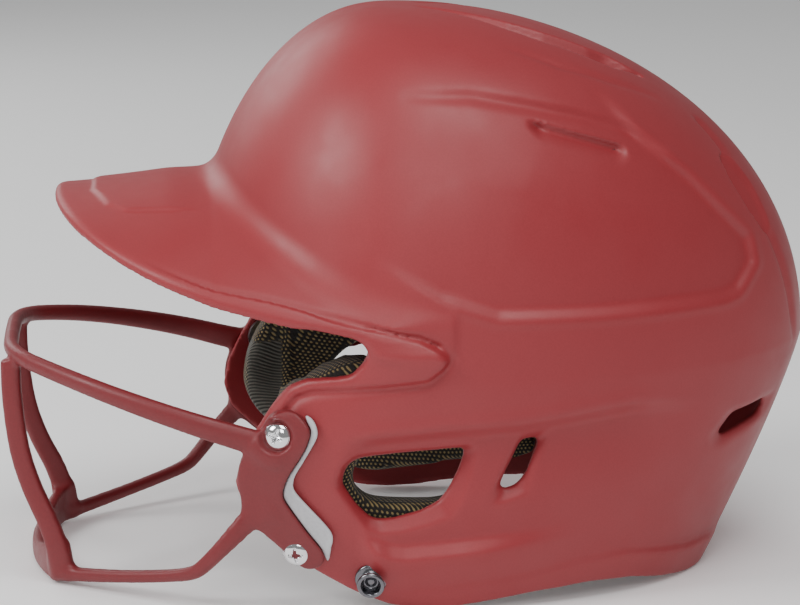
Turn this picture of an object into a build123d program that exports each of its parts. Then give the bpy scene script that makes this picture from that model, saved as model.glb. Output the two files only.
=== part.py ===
from build123d import *
import math
import os

# Batting helmet with a steel face guard, millimetres.
# +X is the wearer's left, the helmet faces -Y, +Z is up, and z = 0 is the surface it stands on.

# ---- driving dimensions of the shell ----
HALF_WIDTH = 109.0          # widest half width, at the equator
EQUATOR_Z = 94.0            # height of the widest level
DOME_HEIGHT = 134.0         # from the equator to the crown
DOME_POWER = 2.5            # fullness of the dome across its width
CROWN_Y = -7.0              # where the crown's highest point lies
FRONT_REACH = 82.6          # from the crown's point forward to the forehead
REAR_REACH = 172.0          # from the crown's point back to the rear of the head
NECK_DEPTH = 304.0          # the lower rear tapers as if it closed this far below the equator
NECK_POWER = 1.16
WALL = 3.2                  # moulded shell wall
FLAP_TUCK = 16.0            # how far each flap leans in from the equator to its bottom edge
FLAP_REACH = 36.0           # extra forward length of the plan section at flap level
TOP_CLEAR = 87.0            # last loft angle, where the crown is closed by a small flat

# ---- brim ----
BRIM_TIP_Y = -146.0
BRIM_TIP_Z = 156.0
BRIM_ROOT_Y = -78.0
BRIM_ROOT_Z = 162.5
BRIM_HALF_WIDTH = 110.0
BRIM_TAIL_Y = 7.0           # where the brim's edge runs out on the side of the shell
BRIM_POWER = 2.15
BRIM_THICK = 4.0
BRIM_DROOP = 0.0045         # downward bend of the brim across its width, 1/mm
BRIM_DROOP_RISE = 1.2e-5

# ---- liner and pads, as depths below the outer surface ----
LINER_OUT = WALL + 0.5
LINER_IN = 15.5
PAD_OUT = LINER_IN + 0.3
PAD_IN = 21.5
EAR_PAD_OUT = WALL + 3.3
EAR_PAD_IN = 24.0
CHANNEL = 5.0               # air channel between neighbouring liner blocks

# ---- face guard ----
GUARD_FRONT_Y = -165.0
BAR_TALL = 7.0
BAR_THICK = 6.0
FRONT_BAR_WIDE = 5.0
FRONT_BAR_DEEP = 7.5
JAW_BAR_TALL = 6.0
JAW_BAR_THICK = 5.5
PLATE_GAP = 0.45
PLATE_THICK = 3.6
STRIP_THICK = 3.0
STRIP_GAP = 0.4
CHIN_THICK = 5.0            # front to back
CHIN_HALF = 49.0
CHIN_END_Y = -141.5         # rear face of the chin bar at its ends
CHIN_MID_Y = -151.5         # and in the middle
CHIN_TALL = 9.0

# ---- fasteners ----
SCREW_HEAD_R = 5.4
SCREW_HEAD_H = 2.6
SCREW_SHANK_R = 2.0
SCREW_LENGTH = 10.5
RECESS_R = 2.4
RECESS_W = 1.0
RECESS_DEEP = 1.4
NUT_CLEAR = 1.1             # the flat flange stands this far in from the curved wall
NUT_FLANGE_R = 8.0
NUT_FLANGE_H = 1.4
NUT_BARREL_R = 3.1
NUT_BARREL_H = 3.8
NUT_BORE_R = 2.2
HEAD_CLEAR = 0.35           # seat of the screw head above the curved plate
SHELL_HOLE_R = 3.3
PLATE_HOLE_R = 2.6
SCREW_PLACES = [(-56.8, 72.0), (-49.6, 24.4)]
STUD_PLACE = (-21.0, 14.0)
STUD_GAP = 0.3
STUD_BASE_R = 6.2
STUD_BASE_H = 2.2
STUD_NECK_R = 3.9
STUD_NECK_H = 2.6
STUD_RING_R = 5.0
STUD_RING_H = 3.2
STUD_CUP_R = 3.2
STUD_SHANK_R = 2.0
STUD_WASHER_R = 6.0

SPREAD = 300.0              # length of the tools that cut right across the helmet


# ---- the head form: every shell, liner and pad surface is a loft of these sections ----
def ease(t):
    t = min(max(t, 0.0), 1.0)
    return t * t * (3.0 - 2.0 * t)


def level_scale(z, inset=0.0):
    """How much of the full reach the profile still has at height z."""
    if z >= EQUATOR_Z:
        t = min((z - EQUATOR_Z) / (DOME_HEIGHT - inset), 1.0)
        return math.sqrt(1.0 - t * t)
    t = ((EQUATOR_Z - z) / NECK_DEPTH) ** NECK_POWER
    return (1.0 - t) ** (1.0 / NECK_POWER)


def level(z, inset=0.0):
    """Centre, half width, front and rear half lengths and front power at height z."""
    s = level_scale(z, inset)
    centre = CROWN_Y + 25.0 * s
    front_y = CROWN_Y - (FRONT_REACH - inset) * s
    rear_y = CROWN_Y + (REAR_REACH - inset) * s
    if z < EQUATOR_Z:
        half = HALF_WIDTH - inset - FLAP_TUCK * ((EQUATOR_Z - z) / EQUATOR_Z) ** 1.5
    else:
        t = min((z - EQUATOR_Z) / (DOME_HEIGHT - inset), 1.0)
        half = (HALF_WIDTH - inset) * (1.0 - t ** DOME_POWER) ** (1.0 / DOME_POWER)
    front = centre - front_y + FLAP_REACH * ease((EQUATOR_Z + 10.0 - z) / 50.0)
    power = 2.0 + 0.5 * ease((150.0 - z) / 90.0)
    return centre, half, front, rear_y - centre, power


def section(z, inset=0.0, count=36):
    centre, half, front, rear, power = level(z, inset)
    points = []
    for i in range(count):
        a = 2.0 * math.pi * i / count
        c = math.cos(a)
        s = math.sin(a)
        if s < 0:
            x = half * math.copysign(abs(c) ** (2.0 / power), c)
            y = centre - front * abs(s) ** (2.0 / power)
        else:
            x = half * c
            y = centre + rear * s
        points.append(Vector(x, y, z))
    return make_face(Spline(*points, periodic=True))


def head_form(inset=0.0, bottom=-6.0):
    """Closed solid of the head form, the given depth below the shell's outer surface."""
    faces = [section(z, inset) for z in (bottom, 20.0, 45.0, 68.0)]
    for degrees in (0.0, 13.0, 26.0, 38.0, 50.0, 61.0, 71.0, 80.0, TOP_CLEAR):
        z = EQUATOR_Z + (DOME_HEIGHT - inset) * math.sin(math.radians(degrees))
        faces.append(section(z, inset))
    return loft(faces)


def surface_x(y, z, inset=0.0):
    """Half width of the head form at a side-view place."""
    centre, half, front, rear, power = level(z, inset)
    d = y - centre
    if d < 0:
        return half * (1.0 - (-d / front) ** power) ** (1.0 / power)
    return half * math.sqrt(1.0 - (d / rear) ** 2)


def surface_plane(y, z, inset=0.0):
    """Plane on the left side of the head form, its z direction pointing outwards."""
    step = 0.5
    dy = (surface_x(y + step, z, inset) - surface_x(y - step, z, inset)) / (2.0 * step)
    dz = (surface_x(y, z + step, inset) - surface_x(y, z - step, inset)) / (2.0 * step)
    place = Vector(surface_x(y, z, inset), y, z)
    return Plane(origin=place, x_dir=(0, 0, 1), z_dir=(1.0, -dy, -dz))


def across(points, smooth=False):
    """Solid through the whole width, from side-view places (y, z)."""
    corners = [Vector(-SPREAD / 2, y, z) for y, z in points]
    if smooth:
        outline = Spline(*corners, periodic=True)
    else:
        outline = Polyline(*corners, close=True)
    return extrude(make_face(outline), amount=SPREAD, dir=(1, 0, 0))


def block(x0, x1, y0, y1, z0, z1):
    place = Pos((x0 + x1) / 2, (y0 + y1) / 2, (z0 + z1) / 2)
    return place * Box(x1 - x0, y1 - y0, z1 - z0)


def left_half(shape):
    return shape & block(0, SPREAD, -SPREAD, SPREAD, -50, SPREAD)


def other_side(shape):
    return mirror(shape, about=Plane.YZ)


def turned(plane, radius, height, start=0.0):
    """Cylinder that stands on a plane, from start upwards."""
    return plane * Pos(0, 0, start + height / 2) * Cylinder(radius, height)


# ---- side-view outlines ----
FACE_OPENING = [
    (-200.0, 152.0), (-84.0, 152.0), (-62.0, 132.0), (-42.0, 114.0), (-25.0, 105.0), (-24.0, 101.0),
    (-31.0, 97.0), (-46.0, 94.5), (-54.0, 89.0), (-63.0, 76.0), (-71.0, 62.0), (-73.5, 51.0),
    (-70.0, 41.0), (-57.0, 28.0), (-43.0, 15.0), (-28.0, 6.5), (-13.0, 1.0), (0.0, 0.0),
    (0.0, -40.0), (-200.0, -40.0),
]
BOTTOM_CUT = [(-1.0, 0.0), (14.0, 1.0), (42.0, 6.0), (76.0, 7.0), (98.0, 3.0), (112.0, 0.0),
              (220.0, 0.0), (220.0, -40.0), (-1.0, -40.0)]
EAR_HOLE = [(15.0, 66.0), (-27.0, 62.0), (-32.0, 52.0), (-21.0, 38.5), (-5.0, 39.5), (4.0, 43.0),
            (8.0, 49.0)]
SLOT = [(44.5, 70.5), (37.0, 69.5), (28.0, 50.5), (35.5, 52.0), (38.5, 55.5)]
REAR_VENT = [(146.0, 71.5), (126.0, 70.0), (119.5, 62.5), (122.0, 60.0), (140.0, 64.5)]

# side-view outlines inside the shell: the ear pad, its hollow for the ear, and its rear notch
EAR_PAD = [(-14.0, 92.0), (-20.0, 104.0), (-33.0, 101.0), (-45.0, 93.0), (-53.0, 87.5), (-60.5, 77.0),
           (-65.0, 66.0), (-67.0, 53.0), (-60.0, 40.0), (-36.0, 19.0), (-8.0, 9.0), (36.0, 14.0),
           (66.0, 18.0), (70.0, 60.0), (58.0, 94.0)]
EAR_CAVITY = [(24.0, 68.0), (-12.0, 68.0), (-25.5, 60.4), (-27.0, 52.0), (-25.5, 45.2), (-14.0, 44.4),
              (6.0, 44.6), (24.0, 50.0)]
EAR_NOTCH = [(60.0, 74.0), (29.0, 72.0), (29.0, 46.0), (50.0, 46.0)]
FRONT_LINER_CUT = [(-200.0, 160.0), (-86.0, 160.0), (-62.0, 138.0), (-30.0, 112.0), (-30.0, 90.0),
                   (-200.0, 90.0)]
SIDE_LINER_CUT = [(-60.0, 120.0), (-20.0, 112.0), (-14.0, 96.0), (-60.0, 96.0)]

# where the liner's blocks are parted, and the lowest edge of each
LINER_PART_FRONT = -34.0
LINER_PART_REAR = 96.0
LINER_PART_CROWN = 184.0
LINER_LOW_FRONT = 108.0
LINER_LOW_SIDE = 100.0
LINER_LOW_REAR = 78.0

# rear edge of the guard's side plate, from the top down: an S that the bumper strip follows
PLATE_REAR = [(-51.6, 82.2), (-44.4, 73.8), (-47.0, 65.8), (-55.0, 55.0), (-56.6, 48.5), (-52.4, 41.0),
              (-42.6, 27.8), (-40.0, 22.4)]
STRIP_REAR = [(-51.2, 83.2), (-41.8, 74.0), (-43.4, 67.2), (-51.4, 55.2), (-52.0, 50.4), (-48.0, 44.0),
              (-36.0, 30.0), (-38.6, 21.0)]
PLATE_FRONT = [(-52.0, 16.4), (-58.0, 24.0), (-65.5, 34.0), (-71.5, 42.0), (-73.6, 52.0), (-71.0, 62.5),
               (-68.0, 70.0)]


# ---- shell ----
def brim_centre_z(y):
    t = (y - BRIM_TIP_Y) / (BRIM_ROOT_Y - BRIM_TIP_Y)
    rise = BRIM_ROOT_Z - BRIM_TIP_Z
    if t <= 1.0:
        return BRIM_TIP_Z + rise * max(t, 0.0) ** 1.5
    return BRIM_ROOT_Z + 0.1 * (y - BRIM_ROOT_Y)


def brim_section(y):
    droop = BRIM_DROOP + BRIM_DROOP_RISE * (y + 60.0)
    top = []
    under = []
    for i in range(-6, 7):
        x = 20.0 * i
        z = brim_centre_z(y) - droop * x * x
        slope = 2.0 * droop * x
        top.append(Vector(x, y, z))
        under.append(Vector(x, y, z - BRIM_THICK * math.hypot(1.0, slope)))
    upper = Spline(*top)
    lower = Spline(*under)
    ends = [Line(top[0], under[0]), Line(top[-1], under[-1])]
    return make_face([upper, lower] + ends)


def brim_slab():
    slab = loft([brim_section(y) for y in (-152.0, -126.0, -100.0, -74.0, -48.0, -22.0, 14.0)])
    length = BRIM_TAIL_Y - BRIM_TIP_Y
    edge = []
    for i in range(13):
        a = math.pi * i / 12
        c = math.cos(a)
        x = BRIM_HALF_WIDTH * math.copysign(abs(c) ** (2.0 / BRIM_POWER), c)
        edge.append(Vector(x, BRIM_TAIL_Y - length * math.sin(a) ** (2.0 / BRIM_POWER), 60.0))
    back = Polyline(edge[-1], edge[-1] + Vector(0, 6, 0), edge[0] + Vector(0, 6, 0), edge[0])
    plan = extrude(make_face([Spline(*edge), back]), amount=140.0, dir=(0, 0, 1))
    return slab & plan


def make_shell(outer, inner):
    shell = outer - inner
    shell = shell - across(FACE_OPENING)
    shell = shell - across(BOTTOM_CUT)
    shell = shell + (brim_slab() - outer)
    for outline in (EAR_HOLE, SLOT, REAR_VENT):
        shell = shell - across(outline)
    for y, z in SCREW_PLACES + [STUD_PLACE]:
        hole = turned(surface_plane(y, z), SHELL_HOLE_R, 20.0, -10.0)
        shell = shell - hole - other_side(hole)
    return shell


# ---- liner and pads ----
def make_liner():
    form = head_form(LINER_OUT) - head_form(LINER_IN)
    gap = CHANNEL / 2
    ahead = LINER_PART_FRONT
    behind = LINER_PART_REAR
    top = LINER_PART_CROWN - gap
    front = form & block(-SPREAD, SPREAD, -SPREAD, ahead - gap, LINER_LOW_FRONT, top)
    front = front - across(FRONT_LINER_CUT)
    crown = form & block(-SPREAD, SPREAD, -SPREAD, SPREAD, LINER_PART_CROWN + gap, SPREAD)
    rear = form & block(-SPREAD, SPREAD, behind + gap, SPREAD, LINER_LOW_REAR, top)
    side = form & block(0, SPREAD, ahead + gap, behind - gap, LINER_LOW_SIDE, top)
    side = side - across(SIDE_LINER_CUT)
    return {
        "impact_liner_front": front,
        "impact_liner_crown": crown,
        "impact_liner_rear": rear,
        "impact_liner_left": side,
        "impact_liner_right": other_side(side),
    }


def make_pads():
    form = head_form(PAD_OUT) - head_form(PAD_IN)
    brow = form & block(-62.0, 62.0, -SPREAD, -44.0, 150.0, 176.0)
    crown = form & block(-42.0, 42.0, -48.0, 62.0, 196.0, SPREAD)
    nape = form & block(-60.0, 60.0, 102.0, SPREAD, 84.0, 116.0)
    temple = form & block(0, SPREAD, -8.0, 84.0, 106.0, 142.0)
    flap = head_form(EAR_PAD_OUT) - head_form(EAR_PAD_IN)
    ear = left_half(flap & across(EAR_PAD))
    ear = ear - across(EAR_CAVITY) - across(EAR_NOTCH)
    return {
        "brow_pad": brow,
        "crown_pad": crown,
        "nape_pad": nape,
        "left_temple_pad": temple,
        "right_temple_pad": other_side(temple),
        "left_ear_pad": ear,
        "right_ear_pad": other_side(ear),
    }


# ---- face guard ----
def bar(points, radii, tall, thick):
    """Bar of rounded section along straight runs joined by arcs."""
    path = FilletPolyline(*points, radius=radii)
    start = Plane(origin=path @ 0, x_dir=(0, 0, 1), z_dir=path % 0)
    profile = start * RectangleRounded(tall, thick, 0.42 * min(tall, thick))
    return sweep(profile, path=path)


def make_chin():
    """Band across the chin, low in the middle and as tall as the front bars' feet at its ends."""
    half = CHIN_HALF
    rear = ThreePointArc((half, CHIN_END_Y, 0), (0, CHIN_MID_Y, 0), (-half, CHIN_END_Y, 0))
    lead = ThreePointArc((half, CHIN_END_Y - CHIN_THICK, 0), (0, CHIN_MID_Y - CHIN_THICK, 0),
                         (-half, CHIN_END_Y - CHIN_THICK, 0))
    ends = [Line(rear @ 0, lead @ 0), Line(rear @ 1, lead @ 1)]
    band = extrude(make_face([rear, lead] + ends), amount=30.0, dir=(0, 0, 1))
    right_half = [(0.0, CHIN_TALL), (24.0, CHIN_TALL), (50.0, 17.0), (50.0, 5.0), (40.0, 0.0)]
    outline = right_half + [(-x, z) for x, z in reversed(right_half[1:])]
    face = make_face(Polyline(*[Vector(x, -100.0, z) for x, z in outline], close=True))
    return band & extrude(face, amount=100.0, dir=(0, -1, 0))


def make_guard():
    front = GUARD_FRONT_Y + BAR_THICK / 2
    rail = [(96.8, -66.5, 68.0), (90.0, -92.0, 77.0), (77.5, -119.0, 84.0), (60.0, -142.0, 89.5),
            (38.0, front, 93.0)]
    top_points = rail + [(-x, y, z) for x, y, z in reversed(rail)]
    top_radii = [60.0, 60.0, 50.0, 16.0, 16.0, 50.0, 60.0, 60.0]
    top = bar(top_points, top_radii, BAR_TALL, BAR_THICK)
    front_path = [(38.5, -160.8, 90.5), (40.3, -158.9, 66.0), (43.5, -152.2, 37.5), (48.3, -141.5, 9.0)]
    front_bar = bar(front_path, [90.0, 90.0], FRONT_BAR_WIDE, FRONT_BAR_DEEP)
    jaw_path = [(95.0, -66.0, 40.0), (90.0, -79.0, 27.0), (84.0, -91.5, 14.5), (66.0, -117.0, 7.8),
                (49.0, -139.5, 5.4)]
    jaw = bar(jaw_path, [20.0, 14.0, 60.0], JAW_BAR_TALL, JAW_BAR_THICK)
    return top, front_bar, jaw, make_chin()


def side_plate_tools():
    """Skin that lies on the shell, and the plate's and strip's side-view outlines."""
    skin = left_half(head_form(-PLATE_GAP - PLATE_THICK) - head_form(-PLATE_GAP))
    thin = left_half(head_form(-PLATE_GAP - STRIP_THICK) - head_form(-PLATE_GAP))
    return skin, thin


def outline_solid(edges):
    return extrude(make_face(edges), amount=SPREAD, dir=(1, 0, 0))


def side_points(places):
    return [Vector(0, y, z) for y, z in places]


def make_plate(skin):
    rear = side_points(PLATE_REAR)
    lead = side_points(PLATE_FRONT)
    upper_y, upper_z = SCREW_PLACES[0]
    over = ThreePointArc(lead[-1], Vector(0, upper_y - 1.5, upper_z + 12.0), rear[0])
    under = ThreePointArc(rear[-1], Vector(0, -44.5, 16.6), lead[0])
    plate = skin & outline_solid([Spline(*rear), under, Spline(*lead), over])
    for y, z in SCREW_PLACES:
        plate = plate - turned(surface_plane(y, z), PLATE_HOLE_R, 20.0, -5.0)
    return plate


def make_strip(thin):
    inner = [Vector(0, y + STRIP_GAP, z + STRIP_GAP / 2) for y, z in PLATE_REAR]
    outer = side_points(STRIP_REAR)
    ends = [Line(inner[0], outer[0]), Line(inner[-1], outer[-1])]
    return thin & outline_solid([Spline(*inner), Spline(*outer)] + ends)


# ---- fasteners ----
def screw(plane):
    seat = PLATE_GAP + PLATE_THICK + HEAD_CLEAR
    head = turned(plane, SCREW_HEAD_R, SCREW_HEAD_H, seat)
    head = head & (plane * Pos(0, 0, seat - 5.2) * Sphere(SCREW_HEAD_R * 1.45))
    recess = plane * Pos(0, 0, seat + SCREW_HEAD_H - RECESS_DEEP / 2)
    cross = recess * Box(2 * RECESS_R, RECESS_W, RECESS_DEEP)
    cross = cross + recess * Box(RECESS_W, 2 * RECESS_R, RECESS_DEEP)
    shank = turned(plane, SCREW_SHANK_R, SCREW_LENGTH, seat - SCREW_LENGTH)
    return head + shank - cross


def tee_nut(plane):
    back = -WALL - NUT_CLEAR
    flange = turned(plane, NUT_FLANGE_R, NUT_FLANGE_H, back - NUT_FLANGE_H)
    barrel = turned(plane, NUT_BARREL_R, NUT_BARREL_H, back)
    bore = turned(plane, NUT_BORE_R, 8.0, back - NUT_FLANGE_H - 1.0)
    return flange + barrel - bore


def snap_stud(plane):
    start = STUD_GAP
    base = turned(plane, STUD_BASE_R, STUD_BASE_H, start)
    neck = turned(plane, STUD_NECK_R, STUD_NECK_H, start + STUD_BASE_H)
    ring_at = start + STUD_BASE_H + STUD_NECK_H
    ring = turned(plane, STUD_RING_R, STUD_RING_H, ring_at)
    cup = turned(plane, STUD_CUP_R, STUD_RING_H, ring_at + 0.8)
    shank = turned(plane, STUD_SHANK_R, WALL + 3.0, -WALL - 2.6)
    return base + neck + ring - cup + shank


def stud_washer(plane):
    start = -WALL - 2.2
    disc = turned(plane, STUD_WASHER_R, 1.6, start)
    return disc - turned(plane, STUD_SHANK_R + 0.1, 5.0, start - 1.0)


def both_sides(shape_of, places):
    """Compound of one fastener per place on the left, and its mirror image on the right."""
    solids = []
    for y, z in places:
        shape = shape_of(surface_plane(y, z))
        solids += [shape, other_side(shape)]
    return Compound(children=solids)


def single(shape):
    """The largest solid of a result, so that each node is one piece."""
    return max(shape.solids(), key=lambda s: s.volume)


def build():
    outer = head_form()
    inner = head_form(WALL)
    nodes = {"outer_shell": single(make_shell(outer, inner))}
    for name, shape in {**make_liner(), **make_pads()}.items():
        nodes[name] = single(shape)
    top, front_bar, jaw, chin = make_guard()
    skin, thin = side_plate_tools()
    plate = single(make_plate(skin))
    strip = single(make_strip(thin))
    nodes["guard_top_bar"] = single(top - plate - other_side(plate))
    nodes["guard_chin_bar"] = chin
    stud = snap_stud(surface_plane(*STUD_PLACE))
    pairs = {
        "front_bar": front_bar - top - chin,
        "jaw_bar": jaw - plate - chin - front_bar,
        "side_plate": plate,
        "bumper_strip": strip,
        "snap_stud": stud,
    }
    for name, shape in pairs.items():
        piece = single(shape)
        prefix = "guard_" if name in ("front_bar", "jaw_bar", "side_plate") else ""
        nodes["left_" + prefix + name] = piece
        nodes["right_" + prefix + name] = other_side(piece)
    nodes["guard_screws"] = both_sides(screw, SCREW_PLACES)
    nodes["guard_tee_nuts"] = both_sides(tee_nut, SCREW_PLACES)
    nodes["snap_stud_washers"] = both_sides(stud_washer, [STUD_PLACE])
    return nodes


os.makedirs("parts", exist_ok=True)
for node, shape in build().items():
    export_step(shape, "parts/" + node + ".step")
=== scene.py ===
import math

import bmesh
import bpy
import numpy as np
import openvdb
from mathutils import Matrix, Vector


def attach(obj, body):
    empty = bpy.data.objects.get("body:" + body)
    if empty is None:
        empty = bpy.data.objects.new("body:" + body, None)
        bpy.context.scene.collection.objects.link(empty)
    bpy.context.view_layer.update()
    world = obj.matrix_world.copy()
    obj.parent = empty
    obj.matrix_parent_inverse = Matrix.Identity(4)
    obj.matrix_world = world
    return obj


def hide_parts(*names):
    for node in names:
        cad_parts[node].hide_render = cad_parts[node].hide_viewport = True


# Looks of the batting helmet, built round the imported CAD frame.
# Shapes are worked out in millimetres in the CAD frame (+X wearer's left, the helmet faces -Y)
# and become metres when a mesh is made.

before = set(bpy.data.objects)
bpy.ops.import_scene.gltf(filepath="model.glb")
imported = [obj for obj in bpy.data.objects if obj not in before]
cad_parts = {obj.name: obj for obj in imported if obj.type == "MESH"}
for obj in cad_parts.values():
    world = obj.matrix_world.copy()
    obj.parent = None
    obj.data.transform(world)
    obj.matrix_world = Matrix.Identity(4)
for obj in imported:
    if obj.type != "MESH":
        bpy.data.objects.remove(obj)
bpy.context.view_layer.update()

MM = 0.001

# ---- head form, the same family of surfaces as the CAD shell ----
HALF_WIDTH = 109.0
EQUATOR_Z = 94.0
DOME_HEIGHT = 134.0
CROWN_Y = -7.0
CENTRE_SHIFT = 25.0         # how far the widest place lies behind the crown's, at the equator
FRONT_REACH = 82.6
REAR_REACH = 172.0
NECK_DEPTH = 304.0
NECK_POWER = 1.16
FLAP_TUCK = 16.0
FLAP_REACH = 36.0
WALL = 3.2

# ---- brim ----
BRIM_TIP_Y = -143.2
BRIM_TIP_Z = 154.6
BRIM_RUN = 68.0             # from the tip back to where the brim meets the forehead
BRIM_RISE = 7.9             # and how much it rises on the way
BRIM_ROOT_FROM = 62.0       # behind this the middle climbs with its own slope
BRIM_ROOT_SLOPE = 0.1
BRIM_DROOP = 0.0041         # downward bend across the width, 1/mm, at BRIM_DROOP_Y
BRIM_DROOP_RISE = 0.9e-5
BRIM_DROOP_Y = -60.0
BRIM_TAIL_Y = 7.0
BRIM_HALF_WIDTH = 110.0
BRIM_POWER = 2.3
BRIM_THICK = 3.8
BRIM_FILLET = 18.0

BRIM_PANEL = [(-60.0, -60.0), (-60.0, -127.5), (14.0, -127.5), (33.0, -122.0), (41.0, -114.0),
              (52.0, -60.0)]

# ---- cells of the volume grids ----
SHELL_CELL = 0.95
GUARD_CELL = 0.8
STRIP_CELL = 0.5


# ---- small maths on whole arrays ----
def ramp(t):
    """Smooth step from 0 to 1 as t goes from 0 to 1."""
    t = np.clip(t, 0.0, 1.0)
    return t * t * (3.0 - 2.0 * t)


def smooth_min(a, b, k):
    h = np.clip(0.5 + 0.5 * (b - a) / k, 0.0, 1.0)
    return b + (a - b) * h - k * h * (1.0 - h)


def smooth_max(a, b, k):
    return -smooth_min(-a, -b, k)


def polygon_distance(u, v, points):
    """Signed distance in a plane to a closed outline, negative inside."""
    best = np.full(np.broadcast(u, v).shape, 1e9)
    inside = np.zeros(best.shape, dtype=bool)
    for (au, av), (bu, bv) in zip(points, points[1:] + points[:1]):
        eu, ev = bu - au, bv - av
        t = np.clip(((u - au) * eu + (v - av) * ev) / (eu * eu + ev * ev), 0.0, 1.0)
        best = np.minimum(best, np.hypot(u - au - t * eu, v - av - t * ev))
        if av != bv:
            crosses = (av > v) != (bv > v)
            inside ^= crosses & (u < (bu - au) * (v - av) / (bv - av) + au)
    return np.where(inside, -best, best)


def path_distance(u, v, points):
    """Distance in a plane to an open path, and how far along it (0 to 1) the nearest place is."""
    runs = [math.dist(a, b) for a, b in zip(points, points[1:])]
    total = sum(runs)
    best = np.full(np.broadcast(u, v).shape, 1e9)
    along = np.zeros(best.shape)
    start = 0.0
    for (au, av), (bu, bv), run in zip(points, points[1:], runs):
        eu, ev = bu - au, bv - av
        t = np.clip(((u - au) * eu + (v - av) * ev) / (run * run), 0.0, 1.0)
        d = np.hypot(u - au - t * eu, v - av - t * ev)
        nearer = d < best
        best = np.where(nearer, d, best)
        along = np.where(nearer, (start + t * run) / total, along)
        start += run
    return best, along


def rounded(points, steps=6):
    """Closed list of places turned into a smooth curve through them (Catmull-Rom)."""
    out = []
    count = len(points)
    for i in range(count):
        p = [np.array(points[(i + k) % count]) for k in (-1, 0, 1, 2)]
        for j in range(steps):
            t = j / steps
            bend = (2 * p[0] - 5 * p[1] + 4 * p[2] - p[3]) * t * t
            twist = (3 * p[1] - p[0] - 3 * p[2] + p[3]) * t ** 3
            out.append(tuple(0.5 * (2 * p[1] + (p[2] - p[0]) * t + bend + twist)))
    return out


def soften(field, cells, times=3):
    """Rounds the corners of a 2-D field by averaging it over a few cells, a few times."""
    for _ in range(times):
        for axis in (0, 1):
            size = field.shape[axis]
            pads = [(cells, cells) if axis == k else (0, 0) for k in (0, 1)]
            wide = np.pad(field, pads, mode="edge")
            parts = [np.take(wide, range(k, k + size), axis) for k in range(2 * cells + 1)]
            field = sum(parts) / len(parts)
    return field


# ---- head form ----
def head_levels(z):
    """Centre, half width, front and rear half lengths and front power for each height."""
    t = np.clip((z - EQUATOR_Z) / DOME_HEIGHT, 0.0, 1.0)
    below = np.clip(EQUATOR_Z - z, 0.0, None)
    low = (1.0 - (below / NECK_DEPTH) ** NECK_POWER) ** (1.0 / NECK_POWER)
    scale = np.sqrt(1.0 - t * t) * low
    centre = CROWN_Y + CENTRE_SHIFT * scale
    half = HALF_WIDTH - FLAP_TUCK * (below / EQUATOR_Z) ** 1.5
    front = (CENTRE_SHIFT + FRONT_REACH) * low + FLAP_REACH * ramp((EQUATOR_Z + 10.0 - z) / 50.0)
    rear = (REAR_REACH - CENTRE_SHIFT) * low
    power = 2.0 + 0.5 * ramp((150.0 - z) / 90.0)
    return centre, half, front, rear, power


def head_value(x, y, z):
    """About zero on the shell's outer surface, negative inside."""
    centre, half, front, rear, power = head_levels(z)
    d = y - centre
    u = np.abs(x) / half
    v = np.abs(d) / np.where(d < 0.0, front, rear)
    p = np.where(d < 0.0, power, 2.0)
    r = np.maximum((u ** p + v ** p) ** (1.0 / p), 1e-5)
    m = 2.04 + 0.46 * (u / r) ** 2
    t = np.clip((z - EQUATOR_Z) / DOME_HEIGHT, 0.0, None)
    return (r ** m + t ** m) ** (1.0 / m) - 1.0


def to_distance(value, cell):
    """Turns an implicit value on a grid into an approximate distance in mm."""
    gx, gy, gz = np.gradient(value, cell)
    return value / np.maximum(np.sqrt(gx * gx + gy * gy + gz * gz), 1e-4)


def surface_x(y, z):
    """Half width of the head form at a side-view place."""
    centre, half, front, rear, power = head_levels(np.asarray(z, float))
    d = np.asarray(y, float) - centre
    v = np.abs(d) / np.where(d < 0.0, front, rear)
    p = np.where(d < 0.0, power, 2.0)
    return half * np.clip(1.0 - v ** p, 0.0, 1.0) ** (1.0 / p)


def surface_frame(y, z, side=1):
    """Place on the head form's side, and its outward, upward and forward directions."""
    step = 0.5
    dy = float(surface_x(y + step, z) - surface_x(y - step, z)) / (2 * step)
    dz = float(surface_x(y, z + step) - surface_x(y, z - step)) / (2 * step)
    out = Vector((1.0, -dy, -dz)).normalized()
    up = (Vector((0, 0, 1)) - out * out.z).normalized()
    place = Vector((float(surface_x(y, z)), y, z))
    ahead = up.cross(out)
    if side < 0:
        place.x, out.x, up.x, ahead.x = -place.x, -out.x, -up.x, -ahead.x
    return place, out, up, ahead


# ---- side-view outlines of the shell, (y, z) ----
EYE_TOP = [(-104.0, 108.0), (-62.0, 112.5), (-50.0, 114.8), (-42.0, 114.4), (-25.5, 110.4),
           (-22.0, 106.6), (-24.0, 102.6), (-28.4, 97.0), (-33.0, 95.8), (-60.0, 93.0), (-104.0, 93.0)]
FACE_OPENING = [(-220.0, 152.0), (-90.0, 152.0), (-62.0, 130.0), (-42.0, 114.8), (-25.5, 110.4),
                (-22.0, 106.6), (-24.0, 102.6), (-28.4, 97.0), (-33.0, 95.8), (-46.0, 94.0),
                (-53.0, 90.4), (-59.0, 83.0), (-66.0, 72.0), (-71.0, 62.0), (-73.5, 51.0), (-70.0, 41.0),
                (-57.0, 28.0), (-43.0, 16.4), (-28.0, 7.8), (-13.0, 2.0), (0.0, 0.8), (14.0, 1.4),
                (42.0, 5.4), (66.0, 7.0), (84.0, 6.0), (98.0, 2.6), (112.0, 0.0), (220.0, 0.0),
                (220.0, -60.0), (-220.0, -60.0)]
EAR_HOLE = [(15.5, 67.0), (-9.0, 65.0), (-27.5, 62.4), (-30.8, 59.5), (-32.6, 53.0), (-26.6, 43.8),
            (-21.6, 38.8), (-17.5, 37.6), (-11.0, 38.7), (-2.0, 41.4), (5.2, 45.2), (9.2, 51.0),
            (13.0, 59.0)]
SLOT = [(44.5, 70.5), (37.0, 69.5), (28.0, 51.0), (30.5, 49.5), (35.5, 51.5), (38.5, 55.5)]
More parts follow.
